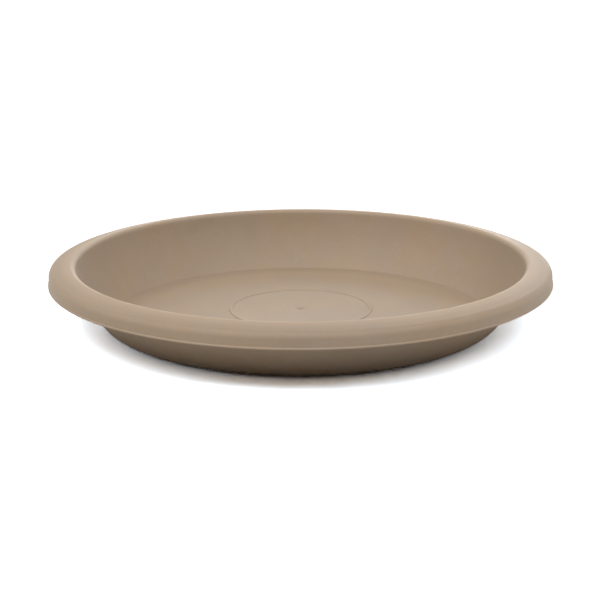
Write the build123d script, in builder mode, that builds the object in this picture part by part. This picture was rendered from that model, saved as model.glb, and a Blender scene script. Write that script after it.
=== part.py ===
from build123d import *
from math import cos, radians, sin, sqrt, tan
import os

# A round plant saucer, moulded in one piece. Millimetres, with angles in degrees.
# +Z is up. The origin lies on the saucer's axis, at the ground that it stands on.

# Overall form
outer_diameter = 406.0
overall_height = 51.1
wall_thickness = 2.8

# Rim: the broad band that rolls over the top of the wall, from the lip to the crest's centre
rim_width = 18.0
rim_fall = 12.3
crest_rounding = 4.5
shoulder_rounding = 5.7

# Skirt: hangs from the rim, clear of the wall, and ends in a thin lip with a bead round it
skirt_depth = 15.2
skirt_flare = 0.3
lip_thickness = 1.6
bead_height = 1.6
bead_depth = 0.6

# Wall and base. The wall curves like a bowl's, so it is steeper at its top than at its foot.
wall_curve = 120.0
base_rounding = 14.0
foot_width = 6.0

# Floor: raised and level inside the ring, and falling gently from there to the crease at the wall,
# which lies well inside the lip
floor_thickness = 2.5
floor_inset = 48.2
floor_rise = 6.0

# Raised ring on the floor, which the pot stands on
ring_diameter = 114.0
ring_width = 2.5
ring_land = 0.9
ring_rise = 0.7

# Gate mark in the middle of the floor: a low pip in a shallow dimple
gate_diameter = 6.5
gate_rise = 0.55
dimple_diameter = 15.5
dimple_depth = 0.3

# How far a tool profile reaches into the floor's thickness or past its surface
overlap = 1.0

# Rim's slope
fall_slope = tan(radians(rim_fall))
rim_depth = wall_thickness / cos(radians(rim_fall))
rim_normal = Vector(sin(radians(rim_fall)), cos(radians(rim_fall)))
rim_direction = Vector(rim_normal.Y, -rim_normal.X)

# Crest's rounding, which just reaches the overall height
lip_radius = outer_diameter / 2
lip_height = overall_height - skirt_depth
crest_radius = lip_radius - rim_width
crest_centre = Vector(crest_radius, overall_height - crest_rounding)
crest_end = crest_centre + rim_normal * crest_rounding
skirt_radius = lip_radius - bead_depth
shoulder_radius = skirt_radius - skirt_flare


def rim_level(radius):
    """Height of the rim's sloping top at a radius."""
    return crest_end.Y - (radius - crest_end.X) * fall_slope


def arc_about(centre, start, end):
    """Arc between two points that lie equally far from its centre."""
    middle = ((start + end) / 2 - centre).normalized() * (start - centre).length
    return ThreePointArc(start, centre + middle, end)


def chamfer_ends(before, corner, after, rounding):
    """Ends of the chamfer at a corner that touches a rounding of that corner at its middle."""
    to_before = (Vector(before) - Vector(corner)).normalized()
    to_after = (Vector(after) - Vector(corner)).normalized()
    half_angle = radians(to_before.get_angle(to_after)) / 2
    setback = rounding * (1 - sin(half_angle)) / (sin(half_angle) * cos(half_angle))
    return [Vector(corner) + to_before * setback, Vector(corner) + to_after * setback]


# Wall's inside: an arc that starts at the crease and meets the crest's rounding without a corner
crease_radius = lip_radius - floor_inset
crease = Vector(crease_radius, floor_thickness)
up_wall = crest_centre - crease
crest_reach = wall_curve + crest_rounding
along = (wall_curve**2 - crest_reach**2 + up_wall.length**2) / (2 * up_wall.length)
to_wall_centre = Vector(-up_wall.Y, up_wall.X).normalized() * sqrt(wall_curve**2 - along**2)
wall_centre = crease + up_wall.normalized() * along + to_wall_centre
to_crest = (crest_centre - wall_centre).normalized()
wall_top = wall_centre + to_crest * wall_curve

# Wall's outside, one wall thickness away, which reaches the underside of the rim
outer_curve = wall_curve + wall_thickness
underside_drop = (crest_end - wall_centre).dot(rim_normal) - wall_thickness
underside_reach = sqrt(outer_curve**2 - underside_drop**2)
under_crest = wall_centre + rim_normal * underside_drop + rim_direction * underside_reach

# Base: a chamfer that touches the rounding between the wall's outside and the ground at its middle
base_reach = outer_curve - base_rounding
base_drop = wall_centre.Y - base_rounding
base_centre = Vector(wall_centre.X + sqrt(base_reach**2 - base_drop**2), base_rounding)
to_base = (base_centre - wall_centre).normalized()
outer_wall_end = wall_centre + to_base * outer_curve
base_corner = outer_wall_end + Vector(to_base.Y, -to_base.X) * (outer_wall_end.Y / to_base.X)
base_chamfer = chamfer_ends(outer_wall_end, base_corner, (0, 0), base_rounding)
foot_inner_radius = base_chamfer[-1].X - foot_width

# Corner under the shoulder, and the lip's inner edge
under_shoulder_radius = shoulder_radius - wall_thickness
under_shoulder = (under_shoulder_radius, rim_level(under_shoulder_radius) - rim_depth)
lip_inner_edge = (skirt_radius - lip_thickness, lip_height)

# Chamfer that keeps the wall's thickness under the shoulder's rounding
shoulder_chamfer = chamfer_ends(
    lip_inner_edge, under_shoulder, under_crest, shoulder_rounding - wall_thickness
)

# Floor
ring_radius = ring_diameter / 2
floor_top = floor_thickness + floor_rise

# Gate mark
gate_radius = gate_diameter / 2
dimple_radius = dimple_diameter / 2
dimple_floor = floor_top - dimple_depth
gate_top = dimple_floor + gate_rise

# Saucer: one section, revolved about the axis
with BuildPart() as saucer:
    with BuildSketch(Plane.XZ):
        with BuildLine():
            # Upper side of the floor, from the axis outward
            floor = Polyline((0, floor_top), (ring_radius, floor_top), crease)
            # Wall's inside and crest
            arc_about(wall_centre, crease, wall_top)
            arc_about(crest_centre, wall_top, crest_end)
            # Rim's top, shoulder and skirt
            upper = FilletPolyline(
                crest_end,
                (shoulder_radius, rim_level(shoulder_radius)),
                (skirt_radius, lip_height + bead_height),
                radius=shoulder_rounding,
            )
            # Bead, lip, skirt's inside and underside of the rim
            Polyline(
                upper @ 1,
                (lip_radius, lip_height + bead_height - bead_depth),
                (lip_radius, lip_height),
                lip_inner_edge,
                *shoulder_chamfer,
                under_crest,
            )
            # Wall's outside
            arc_about(wall_centre, under_crest, outer_wall_end)
            # Base, flat foot and underside of the floor, back to the axis
            Polyline(
                outer_wall_end,
                *base_chamfer,
                (foot_inner_radius, 0),
                (ring_radius, floor_top - floor_thickness),
                (0, floor_top - floor_thickness),
                floor @ 0,
            )
        make_face()

        # Raised ring
        with BuildLine():
            Polyline(
                (ring_radius - ring_width / 2, floor_top - overlap),
                (ring_radius - ring_width / 2, floor_top),
                (ring_radius - ring_land / 2, floor_top + ring_rise),
                (ring_radius + ring_land / 2, floor_top + ring_rise),
                (ring_radius + ring_width / 2, floor_top),
                (ring_radius + ring_width / 2, floor_top - overlap),
                close=True,
            )
        make_face()

        # Dimple round the gate
        with BuildLine():
            hollow = TangentArc((0, dimple_floor), (dimple_radius, floor_top), tangent=(1, 0))
            Polyline(
                hollow @ 1,
                (dimple_radius, floor_top + overlap),
                (0, floor_top + overlap),
                hollow @ 0,
            )
        make_face(mode=Mode.SUBTRACT)

        # Gate's pip
        with BuildLine():
            Polyline(
                (0, gate_top),
                (gate_radius, gate_top),
                (gate_radius, dimple_floor - overlap),
                (0, dimple_floor - overlap),
                close=True,
            )
        make_face()
    revolve(axis=Axis.Z)

saucer.part.label = "saucer"
os.makedirs("parts", exist_ok=True)
export_step(saucer.part, "parts/saucer.step")
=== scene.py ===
from math import ceil, cos, pi, radians, sin, sqrt, tan

import bmesh
import bpy
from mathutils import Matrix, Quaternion, Vector


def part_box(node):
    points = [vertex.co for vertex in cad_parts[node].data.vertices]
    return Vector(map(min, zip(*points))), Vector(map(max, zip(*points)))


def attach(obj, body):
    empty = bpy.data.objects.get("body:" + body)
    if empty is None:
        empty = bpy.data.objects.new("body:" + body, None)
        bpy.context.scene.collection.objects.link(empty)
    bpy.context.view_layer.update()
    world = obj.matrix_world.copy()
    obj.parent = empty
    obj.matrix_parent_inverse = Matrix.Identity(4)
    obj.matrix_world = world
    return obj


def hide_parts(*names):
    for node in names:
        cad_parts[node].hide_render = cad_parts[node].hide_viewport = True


# Looks of a round plant saucer, moulded in one piece. Metres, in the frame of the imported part.
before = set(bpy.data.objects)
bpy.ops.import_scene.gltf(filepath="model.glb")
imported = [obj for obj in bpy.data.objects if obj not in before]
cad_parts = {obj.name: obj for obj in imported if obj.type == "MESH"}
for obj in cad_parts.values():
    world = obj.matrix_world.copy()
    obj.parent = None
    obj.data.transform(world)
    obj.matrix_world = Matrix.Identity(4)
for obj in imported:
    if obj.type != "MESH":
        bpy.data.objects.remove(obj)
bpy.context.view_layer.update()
mm = 0.001

# Overall size, from the frame
_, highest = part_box("saucer")
lip_radius = highest.x
overall_height = highest.z

# Rim and skirt
wall_thickness = 2.8 * mm
rim_width = 18.0 * mm
rim_fall = radians(12.3)
crest_rounding = 4.5 * mm
shoulder_rounding = 5.7 * mm
skirt_depth = 15.2 * mm
skirt_flare = 0.3 * mm
lip_thickness = 1.6 * mm
lip_rounding = 0.35 * mm
bead_height = 1.6 * mm
bead_depth = 0.6 * mm
bead_rounding = 0.45 * mm

# Wall, which curves like a bowl's, and base
wall_curve = 120.0 * mm
base_rounding = 20.0 * mm
foot_width = 2.0 * mm
foot_rounding = 0.5 * mm

# Floor
floor_thickness = 2.5 * mm
floor_inset = 48.2 * mm
floor_rise = 6.0 * mm
crease_rounding = 0.8 * mm

# Raised ring on the floor
ring_diameter = 114.0 * mm
ring_width = 3.6 * mm
ring_land = 2.2 * mm
ring_rise = 0.55 * mm
ring_rounding = 0.15 * mm

# Gate mark: a low pip in a shallow dimple
gate_diameter = 6.5 * mm
gate_land = 2.6 * mm
gate_rise = 0.55 * mm
gate_rounding = 0.6 * mm
dimple_diameter = 15.5 * mm
dimple_depth = 0.3 * mm
dimple_rounding = 2.0 * mm

# Fineness of the turned mesh, and the most that a rounding takes of a leg of its corner
sides = 288
longest_run = 4.0 * mm
arc_step = radians(7)
leg_share = 0.48

# Plastic: two close tones of one sandstone colour, and the noise over which they mix
warm_tone = (0.433, 0.318, 0.215, 1)
cool_tone = (0.413, 0.315, 0.229, 1)
tone_noise = (0.8, 1.2)

# Noises in the plastic, as (features per metre, detail, roughness, distortion)
broad_noise = (16.0, 2.0, 0.5, 0.0)
blotch_noise = (26.0, 4.0, 0.55, 0.6)
patch_noise = (60.0, 3.0, 0.55, 0.0)
speck_noise = (380.0, 3.0, 0.65, 0.0)
grain_noise = (2600.0, 2.0, 0.6, 0.0)

# Marks in the plastic: the noise that they take, and how far they darken and lighten it
speck_share = 0.7
mark_noise = (0.9, 1.7)
mark_lightness = (0.94, 1.06)

# Painted shade at the floor's edge by the crease, a darker spot at the gate mark and a painted
# highlight along the crest, each as a share of the colour
crease_shade = 0.14
crease_shade_width = 26.0 * mm
gate_shade = 0.17
gate_shade_radius = 6.5 * mm
crest_highlight = 0.19
crest_highlight_depth = 2.3 * mm

# Surface of the plastic: its gloss, mould grain and slight waviness
gloss_noise = (0.7, 1.3)
roughness_range = (0.48, 0.60)
specular_level = 0.32
grain_strength = 0.35
grain_height = 0.12 * mm
wave_strength = 0.3
wave_height = 0.3 * mm

# Camera
sensor_width = 36.0
focal_length = 93.23
camera_distance = 1.2737
camera_elevation = radians(16.24)
camera_roll = radians(-0.15)
aim_height = 15.4 * mm
aim_side = -0.5 * mm

# Light: soft lamps as (name, degrees round from behind the saucer, degrees up, strength)
lamps = (
    ("high_left", 225, 62, 1.38),
    ("high_right", 135, 58, 1.08),
    ("side_left", 275, 30, 0.50),
    ("low_right", 70, 12, 0.50),
    ("low_back", 10, 14, 0.75),
)
lamp_spread = radians(40)

# Stage: a round floor, and the share of light that it sends back, which rises between two radii;
# the lower share close round the saucer is painted shade under its rim
floor_radius = 6.0
floor_sides = 64
albedo_radii = (175 * mm, 245 * mm)
floor_albedo = (0.52, 0.95)

# Stage as the camera sees it: a lifted shadow, which gives way to plain white between two radii
shadow_radii = (160 * mm, 240 * mm)
lifted_shadow = (4.3, 4.9, 5.6, 1)
white = (1.35, 1.35, 1.35, 1)


def arc_points(centre, start, end):
    """Points along the arc between two points that lie equally far from its centre."""
    to_start = start - centre
    to_end = end - centre
    turn = to_start.angle(to_end)
    steps = ceil(max(turn / arc_step, turn * to_start.length / longest_run))
    return [
        centre
        + (to_start * sin(turn * (1 - k / steps)) + to_end * sin(turn * k / steps)) / sin(turn)
        for k in range(steps + 1)
    ]


def section():
    """Corners of the section as (radius, height, rounding).

    They run from the middle of the floor outward, over the rim and back under the floor.
    """
    fall_slope = tan(rim_fall)
    rim_normal = Vector((sin(rim_fall), cos(rim_fall)))
    rim_direction = Vector((cos(rim_fall), -sin(rim_fall)))

    # Crest's rounding, shoulder and lip
    crest_centre = Vector((lip_radius - rim_width, overall_height - crest_rounding))
    crest_end = crest_centre + rim_normal * crest_rounding
    skirt_radius = lip_radius - bead_depth
    shoulder_radius = skirt_radius - skirt_flare
    under_shoulder_radius = shoulder_radius - wall_thickness
    lip_height = overall_height - skirt_depth

    def rim_level(radius):
        """Height of the rim's sloping top at a radius."""
        return crest_end.y - (radius - crest_end.x) * fall_slope

    # Wall's inside, from the crease to the crest's rounding
    crease = Vector((lip_radius - floor_inset, floor_thickness))
    up_wall = crest_centre - crease
    crest_reach = wall_curve + crest_rounding
    along = (wall_curve**2 - crest_reach**2 + up_wall.length**2) / (2 * up_wall.length)
    across = Vector((-up_wall.y, up_wall.x)).normalized() * sqrt(wall_curve**2 - along**2)
    wall_centre = crease + up_wall.normalized() * along + across
    wall_top = wall_centre + (crest_centre - wall_centre).normalized() * wall_curve

    # Wall's outside, from the underside of the rim to the base's rounding
    outer_curve = wall_curve + wall_thickness
    underside_drop = (crest_end - wall_centre).dot(rim_normal) - wall_thickness
    underside_reach = sqrt(outer_curve**2 - underside_drop**2)
    under_crest = wall_centre + rim_normal * underside_drop + rim_direction * underside_reach
    base_reach = outer_curve - base_rounding
    base_drop = wall_centre.y - base_rounding
    base_centre = Vector((wall_centre.x + sqrt(base_reach**2 - base_drop**2), base_rounding))
    outer_wall_end = wall_centre + (base_centre - wall_centre).normalized() * outer_curve
    foot_edge = Vector((base_centre.x, 0))

    # Floor, ring and gate mark
    floor_top = floor_thickness + floor_rise
    ring_radius = ring_diameter / 2
    ring_top = floor_top + ring_rise
    ring_foot = floor_top - floor_rise * ring_width / 2 / (crease.x - ring_radius)
    gate_radius = gate_diameter / 2
    gate_top = floor_top - dimple_depth + gate_rise
    dimple_radius = dimple_diameter / 2
    dimple_at_gate = floor_top - dimple_depth * (1 - (gate_radius / dimple_radius) ** 2)

    return [
        (0, gate_top, 0),
        (gate_land / 2, gate_top, gate_rounding),
        (gate_radius, dimple_at_gate, gate_rounding),
        (dimple_radius, floor_top, dimple_rounding),
        (ring_radius - ring_width / 2, floor_top, ring_rounding),
        (ring_radius - ring_land / 2, ring_top, ring_rounding),
        (ring_radius + ring_land / 2, ring_top, ring_rounding),
        (ring_radius + ring_width / 2, ring_foot, ring_rounding),
        (*crease, crease_rounding),
        *[(*point, 0) for point in arc_points(wall_centre, crease, wall_top)[1:]],
        *[(*point, 0) for point in arc_points(crest_centre, wall_top, crest_end)[1:]],
        (shoulder_radius, rim_level(shoulder_radius), shoulder_rounding),
        (skirt_radius, lip_height + bead_height, bead_rounding),
        (lip_radius, lip_height + bead_height - bead_depth, bead_rounding),
        (lip_radius, lip_height, lip_rounding),
        (skirt_radius - lip_thickness, lip_height, lip_rounding),
        (
            under_shoulder_radius,
            rim_level(under_shoulder_radius) - wall_thickness / cos(rim_fall),
            shoulder_rounding - wall_thickness,
        ),
        (*under_crest, crest_rounding - wall_thickness),
        *[(*point, 0) for point in arc_points(wall_centre, under_crest, outer_wall_end)[1:]],
        *[(*point, 0) for point in arc_points(base_centre, outer_wall_end, foot_edge)[1:]],
        (base_centre.x - foot_width, 0, foot_rounding),
        (ring_radius, floor_top - floor_thickness, ring_rounding),
        (0, floor_top - floor_thickness, 0),
    ]


def rounded_corner(before, corner, after, rounding):
    """Points of the arc that rounds a corner, cut down where a leg is short."""
    to_before = before - corner
    to_after = after - corner
    half_angle = to_before.angle(to_after) / 2
    shorter_leg = min(to_before.length, to_after.length)
    setback = min(rounding / tan(half_angle), shorter_leg * leg_share)
    radius = setback * tan(half_angle)
    bisector = (to_before.normalized() + to_after.normalized()).normalized()
    return arc_points(
        corner + bisector * (radius / sin(half_angle)),
        corner + to_before.normalized() * setback,
        corner + to_after.normalized() * setback,
    )


def outline(corners):
    """Points along the section, with its corners rounded and its straight runs divided evenly."""
    places = [Vector((radius, height)) for radius, height, _ in corners]
    points = places[:1]
    for before, corner, after, (_, _, rounding) in zip(places, places[1:], places[2:], corners[1:]):
        points += rounded_corner(before, corner, after, rounding) if rounding else [corner]
    points.append(places[-1])
    divided = points[:1]
    for start, end in zip(points, points[1:]):
        steps = ceil((end - start).length / longest_run)
        divided += [start.lerp(end, k / steps) for k in range(1, steps + 1)]
    return divided


def turned_mesh(name, points):
    """Mesh turned about the Z axis from points that start and end on the axis."""
    shape = bmesh.new()
    directions = [Vector((cos(2 * pi * k / sides), sin(2 * pi * k / sides))) for k in range(sides)]
    top = shape.verts.new((0, 0, points[0].y))
    rings = [
        [shape.verts.new((d.x * p.x, d.y * p.x, p.y)) for d in directions] for p in points[1:-1]
    ]
    bottom = shape.verts.new((0, 0, points[-1].y))
    for k in range(sides):
        following = (k + 1) % sides
        shape.faces.new((top, rings[0][k], rings[0][following]))
        for inner, outer in zip(rings, rings[1:]):
            shape.faces.new((inner[k], outer[k], outer[following], inner[following]))
        shape.faces.new((rings[-1][k], bottom, rings[-1][following]))
    for face in shape.faces:
        face.smooth = True
    mesh = bpy.data.meshes.new(name)
    shape.to_mesh(mesh)
    shape.free()
    piece = bpy.data.objects.new(name, mesh)
    bpy.context.scene.collection.objects.link(piece)
    return piece


def node_maker(tree):
    """Empties a node tree, and gives a function that adds a node with its settings and inputs."""
    tree.nodes.clear()

    def node(kind, inputs=(), **settings):
        made = tree.nodes.new(kind)
        for key, value in settings.items():
            setattr(made, key, value)
        for key, value in dict(inputs).items():
            if isinstance(value, bpy.types.NodeSocket):
                tree.links.new(value, made.inputs[key])
            else:
                made.inputs[key].default_value = value
        return made

    return node


def new_material(name):
    """Material with an empty node tree, and its node maker."""
    material = bpy.data.materials.new(name)
    material.use_nodes = True
    return material, node_maker(material.node_tree)


def ramp(node, value, source, result=(0.0, 1.0), smooth=False):
    """Value carried from one range to another, and held at the ends."""
    made = node(
        "ShaderNodeMapRange",
        {
            "Value": value,
            "From Min": source[0],
            "From Max": source[1],
            "To Min": result[0],
            "To Max": result[1],
        },
        interpolation_type="SMOOTHSTEP" if smooth else "LINEAR",
    )
    return made.outputs["Result"]


def arithmetic(node, operation, *values):
    """Result of a Math node that works on some values."""
    return node("ShaderNodeMath", dict(enumerate(values)), operation=operation).outputs[0]


def mix(node, share, first, second):
    """Colour between two others. The sockets go by number, because the colour ones share names."""
    inputs = {"Factor": share, 6: first, 7: second}
    return node("ShaderNodeMix", inputs, data_type="RGBA").outputs[2]


def noise(node, place, kind):
    """Value of one of the noises in the plastic."""
    scale, detail, roughness, distortion = kind
    inputs = {
        "Vector": place,
        "Scale": scale,
        "Detail": detail,
        "Roughness": roughness,
        "Distortion": distortion,
    }
    return node("ShaderNodeTexNoise", inputs).outputs["Fac"]


def painted_shade_and_gate_spot(node, place):
    """Share of the colour taken away: painted shade at the floor's edge by the crease, and a darker
    spot at the gate mark.
    """
    crease_radius = lip_radius - floor_inset
    level = node("ShaderNodeVectorMath", {0: place, 1: (1, 1, 0)}, operation="MULTIPLY")
    distance = node("ShaderNodeVectorMath", {0: level.outputs[0]}, operation="LENGTH")
    radius = distance.outputs["Value"]
    # Painted shade, darker towards the crease where the wall shades the floor
    to_crease = ramp(node, radius, (crease_radius - crease_shade_width, crease_radius), smooth=True)
    at_crease = ramp(
        node, radius, (crease_radius, crease_radius + crease_rounding), (crease_shade, 0.0)
    )
    at_gate = ramp(node, radius, (0.0, gate_shade_radius), (gate_shade, 0.0), smooth=True)
    return arithmetic(node, "MULTIPLY_ADD", to_crease, at_crease, at_gate)


def moulded_plastic():
    """Matte sandstone-coloured polypropylene, with soft mottling and a fine mould grain."""
    material, node = new_material("moulded_plastic")
    place = node("ShaderNodeTexCoord").outputs["Object"]
    height = node("ShaderNodeSeparateXYZ", {0: place}).outputs["Z"]
    broad = noise(node, place, broad_noise)
    blotch = noise(node, place, blotch_noise)
    patch = noise(node, place, patch_noise)
    speck = noise(node, place, speck_noise)
    grain = noise(node, place, grain_noise)

    # Colour: the two tones, then lighter and darker marks, the painted highlight along the crest,
    # and the painted shade at the crease with the darker spot at the gate
    tone_share = ramp(node, arithmetic(node, "ADD", broad, patch), tone_noise)
    tone = mix(node, tone_share, warm_tone, cool_tone)
    spots = arithmetic(node, "ADD", patch, blotch)
    marks = arithmetic(node, "MULTIPLY_ADD", speck, speck_share, spots)
    lightness = ramp(node, marks, mark_noise, mark_lightness)
    # Painted highlight: the crest is lighter towards its top, for the bright line of light that
    # runs along it
    crest_range = (overall_height - crest_highlight_depth, overall_height)
    painted_highlight = ramp(node, height, crest_range, (0.0, crest_highlight), smooth=True)
    lit = arithmetic(node, "ADD", lightness, painted_highlight)
    shaded = arithmetic(node, "SUBTRACT", lit, painted_shade_and_gate_spot(node, place))
    colour = node("ShaderNodeVectorMath", {0: tone, "Scale": shaded}, operation="SCALE")

    # Surface: glossier and duller spots, with mould grain and the waviness of a cooled moulding
    grain_bump = node(
        "ShaderNodeBump",
        {"Height": grain, "Strength": grain_strength, "Distance": grain_height},
    )
    wave_bump = node(
        "ShaderNodeBump",
        {
            "Height": blotch,
            "Strength": wave_strength,
            "Distance": wave_height,
            "Normal": grain_bump.outputs[0],
        },
    )
    plastic = node(
        "ShaderNodeBsdfPrincipled",
        {
            "Base Color": colour.outputs[0],
            "Roughness": ramp(node, spots, gloss_noise, roughness_range),
            "Specular IOR Level": specular_level,
            "Normal": wave_bump.outputs[0],
        },
    )
    node("ShaderNodeOutputMaterial", {"Surface": plastic.outputs[0]})
    return material


def reflected_ray(node, path):
    """Whether a ray comes by way of gloss or glass."""
    rays = path.outputs["Is Glossy Ray"], path.outputs["Is Transmission Ray"]
    return arithmetic(node, "MAXIMUM", *rays)


def white_floor():
    """Pale matte floor, which the camera sees lighter than the saucer does and gloss sees white; it
    sends back less light near the saucer, as painted shade.
    """
    material, node = new_material("white_floor")
    path = node("ShaderNodeLightPath")
    place = node("ShaderNodeTexCoord").outputs["Object"]
    distance = node("ShaderNodeVectorMath", {0: place}, operation="LENGTH").outputs["Value"]
    # Painted shade: close round the saucer the floor sends back less light, as if in the shadow
    # under the rim
    sent_back = ramp(node, distance, albedo_radii, floor_albedo)
    seen = mix(node, ramp(node, distance, shadow_radii, smooth=True), lifted_shadow, white)
    unseen = mix(node, reflected_ray(node, path), sent_back, white)
    colour = mix(node, path.outputs["Is Camera Ray"], unseen, seen)
    matte = node("ShaderNodeBsdfDiffuse", {"Color": colour})
    node("ShaderNodeOutputMaterial", {"Surface": matte.outputs[0]})
    return material


def add_floor():
    """Round floor under the saucer, which isn't part of it."""
    shape = bmesh.new()
    bmesh.ops.create_circle(shape, cap_ends=True, segments=floor_sides, radius=floor_radius)
    mesh = bpy.data.meshes.new("studio_floor")
    shape.to_mesh(mesh)
    shape.free()
    floor = bpy.data.objects.new("studio_floor", mesh)
    floor.data.materials.append(white_floor())
    bpy.context.scene.collection.objects.link(floor)


def add_saucer():
    """Turned saucer with its plastic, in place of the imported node."""
    saucer = turned_mesh("moulded_saucer", outline(section()))
    saucer.data.materials.append(moulded_plastic())
    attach(saucer, "root")
    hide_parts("saucer")


def add_world():
    """World that sheds no light, and that is white for the camera and in reflections."""
    world = bpy.data.worlds.new("studio_world")
    bpy.context.scene.world = world
    world.use_nodes = True
    node = node_maker(world.node_tree)
    path = node("ShaderNodeLightPath")
    shown = arithmetic(node, "MAXIMUM", path.outputs["Is Camera Ray"], reflected_ray(node, path))
    background = node("ShaderNodeBackground", {"Color": (1, 1, 1, 1), "Strength": shown})
    node("ShaderNodeOutputWorld", {"Surface": background.outputs[0]})


def add_lamps():
    """Soft lamps: two high ones before the saucer, and weaker ones at its sides and behind it."""
    for name, turn, elevation, strength in lamps:
        lamp = bpy.data.lights.new(name, "SUN")
        lamp.energy = strength
        lamp.angle = lamp_spread
        sun = bpy.data.objects.new(name, lamp)
        direction = Vector((sin(radians(turn)), cos(radians(turn)), tan(radians(elevation))))
        sun.rotation_mode = "QUATERNION"
        sun.rotation_quaternion = direction.to_track_quat("Z", "Y")
        bpy.context.scene.collection.objects.link(sun)


def add_camera():
    """Camera at the photograph's angle, a little above the rim."""
    data = bpy.data.cameras.new("camera")
    data.sensor_width = sensor_width
    data.lens = focal_length
    camera = bpy.data.objects.new("camera", data)
    bpy.context.scene.collection.objects.link(camera)
    camera.location = (
        aim_side,
        -camera_distance * cos(camera_elevation),
        camera_distance * sin(camera_elevation),
    )
    look = Vector((aim_side, 0, aim_height)) - camera.location
    camera.rotation_mode = "QUATERNION"
    camera.rotation_quaternion = look.to_track_quat("-Z", "Y") @ Quaternion((0, 0, 1), camera_roll)
    bpy.context.scene.camera = camera


add_camera()
add_saucer()
add_floor()
add_world()
add_lamps()
bpy.context.scene.view_settings.view_transform = "Standard"
